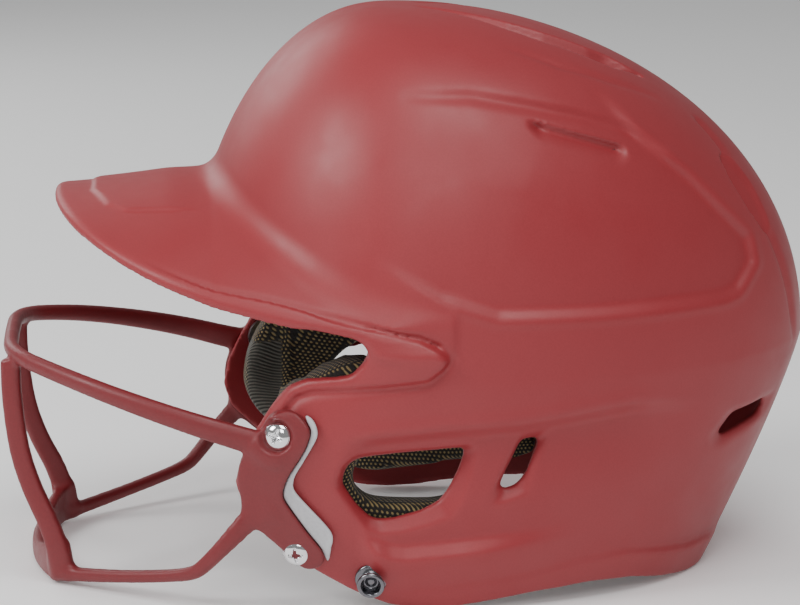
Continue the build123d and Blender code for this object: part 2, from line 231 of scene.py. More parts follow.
REAR_VENT = [(144.0, 71.5), (126.0, 70.0), (119.5, 62.5), (121.0, 60.5), (139.5, 64.5)]
EAR_RECESS = [(20.0, 68.5), (-28.0, 64.8), (-33.5, 60.0), (-35.6, 52.4), (-24.0, 35.4), (-18.0, 32.8),
              (-8.0, 33.6), (10.0, 39.0), (14.0, 46.0)]
SLOT_RECESS = [(49.0, 74.0), (36.0, 71.5), (24.5, 46.5), (25.5, 43.5), (39.5, 49.0), (40.5, 57.0)]
VENT_RECESS = [(150.0, 73.5), (124.0, 72.5), (115.0, 63.0), (117.0, 57.5), (122.0, 56.0), (146.0, 64.0)]
RECESSES = [(EAR_HOLE, EAR_RECESS, 4.4), (SLOT, SLOT_RECESS, 3.2), (REAR_VENT, VENT_RECESS, 2.2)]
SIDE_PANEL = [(-30.0, 145.0), (-16.0, 137.0), (5.0, 126.0), (27.0, 118.5), (66.0, 118.0), (121.0, 118.5),
              (127.0, 120.0), (136.0, 130.0), (134.0, 141.0), (121.0, 154.0), (107.0, 168.0),
              (87.0, 184.0), (60.0, 215.0), (-30.0, 215.0)]
SIDE_SCOOP = [(40.0, 191.5), (79.0, 179.5), (82.0, 175.0), (77.0, 172.5), (47.0, 182.5)]
TAIL = [(-60.0, 122.0), (-29.0, 115.5), (-12.0, 113.0), (-3.0, 111.8), (4.0, 108.5), (8.5, 104.0),
        (6.0, 99.5), (0.0, 94.8), (-19.0, 92.2), (-44.0, 89.5), (-50.0, 87.0), (-53.0, 83.5),
        (-58.0, 74.0), (-90.0, 80.0), (-90.0, 122.0)]
BAND_CREASE = [(-48.0, 122.0), (-36.0, 119.4), (-26.0, 117.0), (-12.0, 113.8), (-3.3, 111.9),
               (4.0, 108.6)]
FLAP_CREASE = [(-28.0, 72.0), (-18.0, 73.5), (5.0, 76.0), (37.0, 78.0), (61.0, 81.0), (82.0, 83.0),
               (112.0, 80.0)]
LOW_RIDGE = [(-25.0, 34.5), (-21.5, 29.0), (-14.5, 25.8), (-8.0, 24.8), (4.0, 26.0), (21.0, 27.7),
             (36.0, 29.4), (52.0, 31.0)]
SIDE_SCOOP_EDGE = [(47.0, 182.5), (77.0, 172.5), (82.0, 175.0)]
SIDE_GROOVE = [(-8.0, 200.5), (19.0, 200.0), (40.0, 196.0), (62.0, 191.0), (80.0, 185.0), (99.0, 177.0)]
LIP = [(-14.0, 6.0), (0.0, 8.0), (39.0, 13.0), (60.0, 17.0), (81.0, 18.5), (96.0, 16.0), (110.0, 13.5),
       (140.0, 13.0)]


def side_relief(y, z):
    """How far the flank stands out from or into the head form, by side-view place."""
    panel = polygon_distance(y, z, SIDE_PANEL)
    fade = ramp((y + 22.0) / 34.0) * ramp((205.0 - z) / 30.0)
    relief = -2.6 * fade * ramp(-panel / 4.0) * (1.0 - 0.9 * ramp(-panel / 70.0))
    relief += 0.5 * fade * np.exp(-((panel - 1.4) / 1.2) ** 2)

    scoop = polygon_distance(y, z, SIDE_SCOOP)
    low_edge = path_distance(y, z, SIDE_SCOOP_EDGE)[0]
    relief -= 4.6 * ramp(-scoop / 1.2) * ramp(low_edge / 9.0)

    groove, along = path_distance(y, z, SIDE_GROOVE)
    relief -= 1.9 * np.exp(-(groove / 2.0) ** 2) * np.sin(np.pi * np.clip(along, 0.0, 1.0)) ** 0.6

    tail = polygon_distance(y, z, TAIL)
    roof = np.clip(np.minimum((115.0 - z) / 9.5, (z - 90.5) / 14.5), 0.0, 1.0)
    along = ramp((y + 62.0) / 12.0)
    relief += (1.3 * along + 3.4 * roof * ramp((y + 36.0) / 18.0)) * ramp(-tail / 1.2)
    relief -= 1.4 * np.exp(-((tail - 0.6) / 0.9) ** 2) * along

    crease = np.interp(y, [p[0] for p in FLAP_CREASE], [p[1] for p in FLAP_CREASE])
    below = crease - z
    ends = ramp((y + 34.0) / 14.0) * ramp((118.0 - y) / 45.0)
    relief -= 3.8 * ends * np.clip(below / 5.4, 0.0, 1.0) * (1.0 - ramp((below - 6.0) / 30.0))
    relief += 0.5 * ends * np.exp(-((below + 1.5) / 3.0) ** 2)

    ridge = np.interp(y, [p[0] for p in LOW_RIDGE], [p[1] for p in LOW_RIDGE])
    under = ridge - z
    ends = ramp((y + 27.0) / 9.0) * ramp((70.0 - y) / 55.0)
    relief += 4.2 * ends * np.clip((under + 3.0) / 5.6, 0.0, 1.0) * (1.0 - 0.8 * ramp((under - 4.0) / 18.0))

    lip = np.interp(y, [p[0] for p in LIP], [p[1] for p in LIP])
    relief += (0.8 + 1.4 * ramp((y - 60.0) / 50.0)) * ramp((lip - z + 0.6) / 1.2) * ramp((y + 16.0) / 12.0)

    for hole, recess, depth in RECESSES:
        out = np.clip(polygon_distance(y, z, hole), 0.0, None)
        into = np.clip(-polygon_distance(y, z, recess), 0.0, None)
        relief -= depth * into / (into + out + 0.3)
    return relief


# ---- plan-view paths of the crown, (x, y), and rear-view outlines of the back, (x, z) ----
CROWN_VENT = [(5.0, 2.0), (17.0, 20.0), (27.0, 38.0), (31.0, 52.0), (31.0, 72.0), (27.0, 92.0)]
CROWN_LINE = [(52.0, 34.0), (54.0, 57.0), (49.0, 79.0), (40.0, 100.0)]
REAR_SCOOP = [(36.0, 172.0), (45.0, 170.0), (49.5, 162.0), (50.5, 151.0), (47.5, 140.5), (42.0, 136.5),
              (38.0, 145.0), (35.0, 158.0)]
REAR_SCOOP_EDGE = [(35.0, 172.0), (35.0, 158.0), (38.0, 145.0), (42.0, 136.5)]
REAR_LINE_ABOVE = [(30.0, 186.0), (36.0, 172.0)]
REAR_LINE_BELOW = [(42.0, 137.0), (40.0, 120.0), (38.0, 104.0), (36.0, 88.0)]


def crown_relief(x, y):
    """Relief of the crown, by plan-view place: the long centre vents."""
    groove, along = path_distance(x, y, CROWN_VENT)
    width = 1.2 + 4.6 * ramp(along / 0.6) * ramp((1.0 - along) / 0.15)
    relief = -3.4 * ramp(along / 0.55) * (1.0 - ramp((groove - width + 1.5) / 2.0))
    relief -= 0.9 * np.exp(-(groove / 1.6) ** 2) * ramp(along / 0.08)
    line, along = path_distance(x, y, CROWN_LINE)
    return relief - 0.8 * np.exp(-(line / 1.8) ** 2) * np.sin(np.pi * along) ** 0.7


def rear_relief(x, z):
    """Relief of the back, by rear-view place: the upright vents and the grooves below them."""
    scoop = polygon_distance(x, z, REAR_SCOOP)
    outer = path_distance(x, z, REAR_SCOOP_EDGE)[0]
    relief = -4.8 * ramp(-scoop / 1.6) * (0.35 + 0.65 * ramp(outer / 10.0))
    groove, along = path_distance(x, z, REAR_LINE_ABOVE)
    relief -= 1.4 * np.exp(-(groove / 2.4) ** 2) * ramp(along / 0.3)
    groove, along = path_distance(x, z, REAR_LINE_BELOW)
    relief -= 1.6 * np.exp(-(groove / 2.8) ** 2) * ramp((1.0 - along) / 0.4)
    return relief


# ---- brim ----
def brim_top(x, y):
    """Height of the brim's top surface."""
    t = np.clip((y - BRIM_TIP_Y) / BRIM_RUN, 0.0, None)
    centre = BRIM_TIP_Z + BRIM_RISE * smooth_min(t, 1.0, 0.3) ** 1.4
    centre = centre + BRIM_ROOT_SLOPE * np.maximum(y - BRIM_TIP_Y - BRIM_ROOT_FROM, 0.0)
    return centre - (BRIM_DROOP + BRIM_DROOP_RISE * (y - BRIM_DROOP_Y)) * x * x


def brim_distance(x, y, z):
    """Distance to the brim, a curved slab with a half-oval plan, a raised edge band and a rolled rim."""
    top = brim_top(x, y)
    step = 0.5
    sx = (brim_top(x + step, y) - top) / step
    sy = (brim_top(x, y + step) - top) / step
    over = (z - top) / np.sqrt(1.0 + sx * sx + sy * sy)
    ahead = (BRIM_TAIL_Y - y) / (BRIM_TAIL_Y - BRIM_TIP_Y)
    level = (np.abs(x) / BRIM_HALF_WIDTH) ** BRIM_POWER + np.clip(ahead, 0.0, None) ** BRIM_POWER
    value = np.maximum(level, 1e-6) ** (1.0 / BRIM_POWER) - 1.0
    gx, gy = np.gradient(value[:, :, 0], SHELL_CELL)
    plan = value / np.maximum(np.hypot(gx, gy), 1e-4)[:, :, None]
    plan = plan + 3.2 * ramp((y + 22.0) / 27.0)
    behind = y - BRIM_TAIL_Y
    inner = np.minimum(-plan, 30.0)
    band = 3.4 + 1.0 * ramp((y + 85.0) / 25.0) - 2.6 * ramp((y + 58.0) / 38.0)
    fade = ramp((-20.0 - y) / 30.0) * ramp((y + 114.0) / 30.0)
    on_band = ramp((band - inner) / 1.2)
    line = np.exp(-((inner - band - 0.3) / 0.9) ** 2)
    relief = 0.6 * on_band * fade - 0.9 * line * ramp((-5.0 - y) / 20.0) * ramp((y + 114.0) / 30.0)
    panel = polygon_distance(np.abs(x), y, BRIM_PANEL)
    relief += 1.0 * (1.0 - ramp((panel + 0.7) / 1.4)) * ramp((-84.0 - y) / 16.0)
    roll = 0.8 * ramp((4.0 - inner) / 3.0)
    slab = smooth_max(over - relief, -over - BRIM_THICK - roll, 1.0)
    slab = smooth_max(slab, plan - 0.2 * np.sqrt((over + BRIM_THICK / 2) ** 2 + 1.0), 3.4)
    eye = soften(polygon_distance(y[0], z[0], EYE_TOP), 1)[None]
    return np.maximum(smooth_max(slab, -eye, 1.8), behind)


# ---- objects and meshes ----
def add_object(name, data):
    """New object with a mesh, light or camera, linked to the scene."""
    thing = bpy.data.objects.new(name, data)
    bpy.context.scene.collection.objects.link(thing)
    return thing


def mesh_points(mesh):
    flat = np.empty(len(mesh.vertices) * 3)
    mesh.vertices.foreach_get("co", flat)
    return flat.reshape(-1, 3)


def put_points(mesh, points):
    mesh.vertices.foreach_set("co", points.ravel())
    mesh.update()


def apply_modifiers(piece):
    graph = bpy.context.evaluated_depsgraph_get()
    mesh = bpy.data.meshes.new_from_object(piece.evaluated_get(graph))
    piece.modifiers.clear()
    piece.data = mesh
    return mesh


def mesh_from_volume(name, field, corner, cell, mirrored):
    """Polygon mesh of the zero surface of a volume; a half volume is completed by its mirror image."""
    if mirrored:
        field = np.concatenate([field[:0:-1], field], axis=0)
        corner = (-(field.shape[0] - 1) / 2 * cell, corner[1], corner[2])
    grid = openvdb.FloatGrid()
    grid.copyFromArray(np.ascontiguousarray(np.clip(field, -4 * cell, 4 * cell), dtype=np.float32))
    points, _, quads = grid.convertToPolygons(isovalue=0.0, adaptivity=0.0)
    points = (points * cell + np.array(corner)) * MM
    mesh = bpy.data.meshes.new(name)
    mesh.from_pydata(points.tolist(), [], quads[:, ::-1].tolist())
    mesh.validate()
    mesh.shade_smooth()
    return add_object(name, mesh)


def keep_largest(piece):
    """Drops loose crumbs, keeping the part of the mesh with the most vertices."""
    bm = bmesh.new()
    bm.from_mesh(piece.data)
    bm.verts.ensure_lookup_table()
    seen = np.zeros(len(bm.verts), dtype=bool)
    groups = []
    for vert in bm.verts:
        if seen[vert.index]:
            continue
        stack = [vert]
        seen[vert.index] = True
        group = []
        while stack:
            here = stack.pop()
            group.append(here)
            for edge in here.link_edges:
                other = edge.other_vert(here)
                if not seen[other.index]:
                    seen[other.index] = True
                    stack.append(other)
        groups.append(group)
    groups.sort(key=len, reverse=True)
    for group in groups[1:]:
        bmesh.ops.delete(bm, geom=group, context="VERTS")
    bm.to_mesh(piece.data)
    bm.free()


def relax(piece, times, chosen=None, more=0):
    """Takes the grid's fine waviness out of a mesh, with extra passes on the chosen vertices."""
    smooth = piece.modifiers.new("relax", "SMOOTH")
    smooth.factor = 0.5
    smooth.iterations = times
    if chosen is not None:
        group = piece.vertex_groups.new(name="edge")
        group.add(np.nonzero(chosen)[0].tolist(), 1.0, "REPLACE")
        smooth = piece.modifiers.new("relax_more", "SMOOTH")
        smooth.factor = 0.5
        smooth.iterations = more
        smooth.vertex_group = "edge"
    apply_modifiers(piece)


def build_shell():
    cell = SHELL_CELL
    x = np.arange(0.0, 118.0, cell)[:, None, None]
    y = np.arange(-152.0, 172.0, cell)[None, :, None]
    z = np.arange(-4.0, 234.0, cell)[None, None, :]
    base = to_distance(head_value(x, y, z), cell)
    flank = soften(side_relief(y[0], z[0]), 1, 1)[None]
    crown = crown_relief(x[:, :, 0], y[:, :, 0])[:, :, None] * ramp((z - 165.0) / 20.0)
    back = rear_relief(x[:, 0], z[:, 0])[:, None, :] * ramp((y - 70.0) / 30.0)
    outer = base - flank * ramp((x - 20.0) / 25.0) - crown - back
    opening = soften(polygon_distance(y[0], z[0], FACE_OPENING), 1)[None]
    body = smooth_max(outer, -opening, 1.6)
    fillet = 6.5 + (BRIM_FILLET - 6.5) * ramp((-82.0 - y) / 26.0)
    shell = smooth_min(body, brim_distance(x, y, z), fillet)
    groove, along = path_distance(y[0], z[0], BAND_CREASE)
    shell = shell + (1.3 * np.exp(-(groove / 0.9) ** 2) * ramp(along / 0.3))[None] * ramp((x - 96.0) / 6.0)
    inside = base + WALL - np.minimum(flank + crown + back, 0.0)
    shell = smooth_max(shell, -inside, 0.8)
    lower = np.where(z < 150.0, -opening - 0.4, -9.0)
    behind = ramp((y + 70.0) / 20.0)
    shell = np.where(behind > 0.5, np.maximum(shell, np.where(base > -6.0, -9.0, lower)), shell)
    for outline in (EAR_HOLE, SLOT, REAR_VENT):
        hole = soften(polygon_distance(y[0], z[0], outline), 1)[None]
        hole = np.where(x > 25.0, hole, 9.0)
        shell = smooth_max(shell, -hole, 1.2)
    piece = mesh_from_volume("shell", shell, (0.0, y.min(), z.min()), cell, True)
    keep_largest(piece)
    px, py, pz = (mesh_points(piece.data) / MM).T
    under = (py < -24.0) & (np.abs(px) > 50.0) & (pz > 100.0) & (pz < brim_top(px, py) - 1.6)
    relax(piece, 2, under, 12)
    return piece


# ---- face guard ----
PLATE_GAP = 0.45
PLATE_THICK = 3.6
SCREW_PLACES = [(-56.3, 72.0), (-49.3, 25.0)]
PLATE_REAR = [(-50.4, 81.8), (-46.0, 77.0), (-45.3, 73.5), (-47.8, 66.7), (-53.7, 56.5), (-55.8, 49.0),
              (-54.2, 44.7), (-47.1, 34.3), (-40.9, 26.2), (-39.5, 22.8)]
PLATE_UNDER = [(-40.3, 20.4), (-42.6, 18.6), (-46.0, 18.0), (-49.2, 19.4)]
PLATE_FRONT = [(-52.7, 22.7), (-57.1, 27.2), (-61.6, 31.0), (-65.6, 35.4), (-70.0, 41.2), (-71.4, 47.3),
               (-72.6, 53.0), (-71.8, 59.5), (-70.0, 64.0)]
PLATE_OVER = [(-67.0, 69.0), (-63.6, 73.0), (-61.8, 77.2), (-59.2, 80.6), (-55.4, 82.2)]
STRIP_REAR = [(-50.3, 81.8), (-46.4, 81.3), (-43.6, 79.3), (-42.1, 75.6), (-42.5, 71.8), (-47.8, 61.8),
              (-50.2, 57.6), (-51.4, 53.5), (-50.2, 49.5), (-41.5, 39.7), (-37.1, 34.3), (-36.0, 30.9),
              (-36.7, 27.4), (-39.2, 22.4)]


UPRIGHT = (0.0, 0.0, 1.0)
RAIL = [(90.0, -92.0, 76.6), (77.5, -119.0, 84.0), (60.0, -142.0, 89.8), (38.0, -161.6, 93.8),
        (0.0, -162.0, 93.8), (-6.0, -162.0, 93.8)]
RAIL_HALVES = [(5.2, 3.0), (4.4, 3.0), (3.8, 3.0), (3.4, 3.0), (3.1, 3.0), (3.1, 3.0)]
FRONT_BAR = [(38.0, -161.4, 89.0), (39.0, -161.3, 78.0), (40.3, -159.9, 63.0), (41.4, -157.9, 51.6),
             (43.0, -154.3, 40.5), (44.5, -151.0, 33.0), (46.0, -147.6, 26.0), (47.4, -143.8, 15.0),
             (47.8, -141.6, 6.0)]
FRONT_HALVES = [(4.0, 2.6), (4.0, 2.6), (4.1, 2.7), (4.5, 2.8)]
JAW_BAR = [(90.5, -78.5, 26.5), (86.8, -86.0, 17.8), (84.5, -89.8, 14.4), (79.5, -97.5, 12.0),
           (66.0, -117.0, 8.0), (49.0, -139.0, 4.6)]
JAW_HALVES = [(5.0, 1.9), (3.2, 2.5), (2.5, 2.6), (2.5, 2.6), (2.8, 2.7)]


def over_plate(y, z, height):
    """Place above the head form at a side-view place."""
    return float(surface_x(y, z)) + height, y, z


def corner_cut(points, rounds):
    """Open path with its corners cut again and again, which ends as a smooth curve."""
    points = [np.array(p, float) for p in points]
    for _ in range(rounds):
        cut = [points[0]]
        for a, b in zip(points, points[1:]):
            cut += [0.75 * a + 0.25 * b, 0.25 * a + 0.75 * b]
        cut.append(points[-1])
        points = cut
    return points


class Volume:
    """A box of space sampled at one size of cell, into which shapes are merged."""

    def __init__(self, low, high, cell):
        self.cell = cell
        self.low = low
        self.axes = [np.arange(a, b, cell) for a, b in zip(low, high)]
        self.field = np.full([len(a) for a in self.axes], 6.0)

    def everywhere(self):
        """Coordinates of the whole box."""
        x, y, z = self.axes
        return x[:, None, None], y[None, :, None], z[None, None, :]

    def window(self, low, high):
        """Slices and coordinates of the part of the box between two corners."""
        cuts = []
        for axis, a, b in zip(self.axes, low, high):
            first, last = np.searchsorted(axis, (a, b))
            cuts.append(slice(max(first, 0), max(last, first + 1)))
        x, y, z = (axis[cut] for axis, cut in zip(self.axes, cuts))
        return tuple(cuts), x[:, None, None], y[None, :, None], z[None, None, :]

    def bar(self, points, halves, leans, power=2.8, blend=0.0):
        """Merges a bar along a path, with half sizes (tall, thick) and tall directions at even steps along it."""
        points = [np.array(p, float) for p in points]
        reach = np.cumsum([0.0] + [np.linalg.norm(b - a) for a, b in zip(points, points[1:])])
        whole = np.full(self.field.shape, 9.0)
        for i, (a, b) in enumerate(zip(points, points[1:])):
            run = b - a
            length = np.linalg.norm(run)
            run = run / length
            mids = (reach[i] + reach[i + 1]) / 2 / reach[-1]
            stops = np.linspace(0.0, 1.0, len(halves))
            tall, thick = (np.interp(mids, stops, [h[k] for h in halves]) for k in (0, 1))
            stops = np.linspace(0.0, 1.0, len(leans))
            lean = np.array([np.interp(mids, stops, [d[k] for d in leans]) for k in range(3)])
            lean = lean - run * lean.dot(run)
            lean = lean / np.linalg.norm(lean)
            side = np.cross(run, lean)
            margin = max(tall, thick) + 7.0
            cuts, x, y, z = self.window(np.minimum(a, b) - margin, np.maximum(a, b) + margin)
            dx, dy, dz = x - a[0], y - a[1], z - a[2]
            t = np.clip(dx * run[0] + dy * run[1] + dz * run[2], 0.0, length)
            px, py, pz = dx - t * run[0], dy - t * run[1], dz - t * run[2]
            up = (np.abs(px * lean[0] + py * lean[1] + pz * lean[2]) / tall) ** power
            wide = (np.abs(px * side[0] + py * side[1] + pz * side[2]) / thick) ** power
            along = (np.abs(px * run[0] + py * run[1] + pz * run[2]) / min(tall, thick)) ** power
            level = ((up + wide + along) ** (1.0 / power) - 1.0) * min(tall, thick)
            whole[cuts] = np.minimum(whole[cuts], level)
        self.field = smooth_min(self.field, whole, blend) if blend else np.minimum(self.field, whole)


def build_guard():
    """The whole guard as one moulded piece: rail, front bars, jaw bars, chin band and side plates."""
    box = Volume((-1.6, -176.0, -4.0), (112.0, -34.0, 108.0), GUARD_CELL)
    x, y, z = box.everywhere()
    base = to_distance(head_value(x, y, z), box.cell)
    outline = PLATE_REAR + PLATE_UNDER + PLATE_FRONT + PLATE_OVER
    plate_plan = soften(polygon_distance(y[0], z[0], rounded(outline, 4)), 1)[None]
    skin = np.abs(base - PLATE_GAP - PLATE_THICK / 2) - PLATE_THICK / 2
    box.field = smooth_max(skin, plate_plan, 1.6)

    upper, out, _, _ = surface_frame(*SCREW_PLACES[0])
    ring = np.hypot(y - upper.y + 2.0, z - upper.z + 1.0)
    top = PLATE_GAP + PLATE_THICK + 1.7 * ramp((14.0 - ring) / 5.0) * ramp((upper.y + 6.0 - y) / 9.0)
    boss = smooth_max(np.maximum(base - top, plate_plan), PLATE_GAP - base, 0.8)
    box.field = smooth_min(box.field, boss, 1.0)

    rail = corner_cut([over_plate(-61.0, 68.0, 2.2), over_plate(-68.0, 69.4, 3.0)] + RAIL, 3)
    box.bar(rail, RAIL_HALVES, [UPRIGHT], 2.3, 2.0)
    box.bar(corner_cut(FRONT_BAR, 1), FRONT_HALVES, [(0.25, 1.0, 0.0)], 3.4, 2.0)
    jaw = corner_cut([over_plate(-61.0, 44.0, 2.2), over_plate(-66.0, 40.0, 2.4)] + JAW_BAR, 2)
    box.bar(jaw, JAW_HALVES, [UPRIGHT], 2.8, 2.5)

    radius = np.hypot(x, y + 30.0)
    tall = 4.6 + 3.2 * ramp((x - 12.0) / 34.0)
    low = 0.4 + 0.6 * ramp((x - 36.0) / 12.0)
    level = np.abs(z - low - tall)
    chin = smooth_max(np.abs(radius - 123.4 + 0.10 * level) - 2.5, level - tall + 0.4, 1.8)
    chin = smooth_max(chin, x - 46.5, 2.0)
    chin = np.where(y < -120.0, chin, 9.0)
    box.field = smooth_min(box.field, chin, 4.0)

    rise = (x - upper.x) * out.x + (y - upper.y) * out.y + (z - upper.z) * out.z
    reach = np.sqrt(np.maximum((x - upper.x) ** 2 + (y - upper.y) ** 2 + (z - upper.z) ** 2 - rise ** 2, 0.0))
    dish = smooth_max(reach - 6.3 - 0.3 * (rise - 3.0), PLATE_GAP + PLATE_THICK - 1.1 - rise, 0.6)
    box.field = smooth_max(box.field, -dish, 0.5)
    box.field = smooth_max(box.field, PLATE_GAP - 0.1 - np.where(y > -78.0, base, 9.0), 0.6)

    whole = box.field[2:]
    piece = mesh_from_volume("face_guard", whole, (0.0, box.low[1], box.low[2]), box.cell, True)
    keep_largest(piece)
    relax(piece, 2)
    return piece


def build_strip(side):
    """Soft wedge between the plate's rear edge and the shell, one side."""
    box = Volume((80.0, -62.0, 12.0), (112.0, -28.0, 92.0), STRIP_CELL)
    x, y, z = box.everywhere()
    base = to_distance(head_value(x, y, z), box.cell)
    near = [(y0 + 0.45, z0 + 0.1) for y0, z0 in PLATE_REAR]
    outline = rounded(near, 3)[:3 * len(near) - 2]
    outline += rounded(STRIP_REAR[::-1], 3)[:3 * len(STRIP_REAR) - 2]
    plan = soften(polygon_distance(y[0], z[0], outline), 1)[None]
    rise = 2.7 - 0.7 * ramp(-plan / 2.6)
    field = smooth_max(smooth_max(base - rise, 0.15 - base, 0.5), plan + 0.1, 0.9)
    piece = mesh_from_volume("left_bumper" if side > 0 else "right_bumper", field, box.low, box.cell, False)
    keep_largest(piece)
    if side < 0:
        mirror(piece)
    return piece


def mirror(piece):
    """Turns a left piece into a right one."""
    bm = bmesh.new()
    bm.from_mesh(piece.data)
    for vert in bm.verts:
        vert.co.x = -vert.co.x
    bmesh.ops.reverse_faces(bm, faces=bm.faces)
    bm.to_mesh(piece.data)
    bm.free()


# ---- fasteners ----
SCREW_HEAD_R = 5.4
SCREW_HEAD_H = 2.5
SCREW_SEAT = PLATE_GAP + PLATE_THICK - 1.0
SCREW_RINGS = 46            # rings of vertices from the middle of the head to its rim
SCREW_SECTORS = 144
STUD_PLACE = (-21.0, 14.0)
STUD_FLANGE_TOP = 2.4
STUD_STRETCH = 1.12         # of everything above the flange
SINK_FROM = 0.6             # a recess sinks only the vertices of a profile above this height


def revolve(bm, profile, place, axis, start, sectors=64, shape=None):
    """Closed lathe form: profile holds (radius, height), each end on the axis. shape may sink a vertex."""
    side = start.cross(axis)
    rings = []
    for radius, height in profile:
        if radius == 0.0:
            drop = shape(0.0, 0.0) if shape and height > SINK_FROM else 0.0
            rings.append([bm.verts.new((place + axis * (height - drop)) * MM)])
            continue
        ring = []
        for i in range(sectors):
            angle = 2 * math.pi * i / sectors
            a, b = radius * math.cos(angle), radius * math.sin(angle)
            drop = shape(a, b) if shape and height > SINK_FROM else 0.0
            ring.append(bm.verts.new((place + start * a + side * b + axis * (height - drop)) * MM))
        rings.append(ring)
    for low, high in zip(rings, rings[1:]):
        for i in range(sectors):
            j = (i + 1) % sectors
            if len(low) == 1:
                bm.faces.new((low[0], high[i], high[j]))
            elif len(high) == 1:
                bm.faces.new((low[i], high[0], low[j]))
            else:
                bm.faces.new((low[i], high[i], high[j], low[j]))


def finish_mesh(name, bm):
    bmesh.ops.recalc_face_normals(bm, faces=bm.faces)
    mesh = bpy.data.meshes.new(name)
    bm.to_mesh(mesh)
    bm.free()
    mesh.shade_smooth()
    return add_object(name, mesh)


def cross_recess(a, b):
    """Depth of the Phillips recess at a place on the head."""
    wing = min(abs(a), abs(b))
    reach = max(abs(a), abs(b))
    width = 0.95 - 0.12 * reach
    edge = min(1.0, max(0.0, (width - wing) / 0.34)) * min(1.0, max(0.0, (3.2 - reach) / 0.6))
    core = max(0.0, 1.0 - math.hypot(a, b) / 1.7)
    return edge * (1.7 - 0.32 * reach) + 0.5 * core


def build_screws():
    """Four truss-head screws with a cross recess, at the guard plates."""
    profile = [(0.0, SCREW_HEAD_H)]
    for k in range(1, SCREW_RINGS):
        height = SCREW_HEAD_H * (1.0 - (k / SCREW_RINGS) ** 2.4) ** 0.62
        profile.append((SCREW_HEAD_R * k / SCREW_RINGS, height))
    profile += [(SCREW_HEAD_R, 0.35), (SCREW_HEAD_R - 0.1, 0.05), (SCREW_HEAD_R - 0.5, -0.15)]
    profile += [(2.6, -0.25), (2.5, -1.2), (2.45, -2.2), (0.0, -2.4)]
    bm = bmesh.new()
    turn = 0.35
    for side in (1, -1):
        for y, z in SCREW_PLACES:
            place, out, up, ahead = surface_frame(y, z, side)
            start = (up * math.cos(turn) + ahead * math.sin(turn)).normalized()
            turn += 1.13
            revolve(bm, profile, place + out * SCREW_SEAT, out, start, SCREW_SECTORS, cross_recess)
    return finish_mesh("guard_screw_heads", bm)


def arc(cx, cz, radius, first, last, steps):
    """Profile points on an arc, angles in degrees."""
    angles = [math.radians(first + (last - first) * k / steps) for k in range(steps + 1)]
    return [(cx + radius * math.cos(angle), cz + radius * math.sin(angle)) for angle in angles]


def build_stud(side):
    """Chin strap snap stud: flange, neck and hollow ring."""
    place, out, up, _ = surface_frame(*STUD_PLACE, side)
    profile = [(0.0, 0.3), (5.3, 0.3)]
    profile += arc(5.5, 1.3, 0.9, -80, 80, 8)
    profile += [(4.7, 2.45)]
    profile += arc(4.6, 3.6, 0.9, 240, 120, 6)
    profile += [(4.6, 4.7)]
    profile += arc(4.6, 5.9, 0.85, -70, 90, 8)
    profile += arc(4.35, 6.0, 0.6, 90, 180, 5)
    profile += [(3.6, 5.2), (3.35, 4.2), (3.1, 3.4), (2.6, 3.1)]
    profile += [(2.1, 3.2), (1.8, 3.7), (1.2, 4.0), (0.6, 4.1), (0.0, 4.12)]
    for k, (radius, height) in enumerate(profile):
        if height >= STUD_FLANGE_TOP:
            profile[k] = (radius, STUD_FLANGE_TOP + STUD_STRETCH * (height - STUD_FLANGE_TOP))
    bm = bmesh.new()
    revolve(bm, profile, place, out, up, 72)
    return finish_mesh("left_chin_snap" if side > 0 else "right_chin_snap", bm)


# ---- padding and foam ----
PAD_VOXEL = 4.2
FOAM_VOXEL = 2.4
CLOTH_STEPS = 20
PAD_SHRINK = 1.4            # taken off the CAD pad all round before it is blown up
PAD_SWELL = 2.6             # the most that a vertex may move while it is


def head_depth(points):
    """How deep each point lies under the shell's outer surface, in mm, and the outward direction there."""
    step = 0.4
    at = head_value(points[:, 0], points[:, 1], points[:, 2])
    slopes = []
    for axis in range(3):
        moved = points.copy()
        moved[:, axis] += step
        ahead = head_value(moved[:, 0], moved[:, 1], moved[:, 2])
        moved[:, axis] -= 2 * step
        slopes.append((ahead - head_value(moved[:, 0], moved[:, 1], moved[:, 2])) / (2 * step))
    slope = np.stack(slopes, axis=1)
    size = np.maximum(np.linalg.norm(slope, axis=1), 1e-5)
    return -at / size, slope / size[:, None]


def remeshed_copy(name, node, voxel):
    """A new object with the CAD solid's shape, evenly remeshed."""
    piece = add_object(name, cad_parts[node].data.copy())
    piece.data.materials.clear()
    remesh = piece.modifiers.new("even", "REMESH")
    remesh.mode = "VOXEL"
    remesh.voxel_size = voxel * MM
    relax = piece.modifiers.new("relax", "SMOOTH")
    relax.factor = 0.5
    relax.iterations = 3
    apply_modifiers(piece)
    return piece


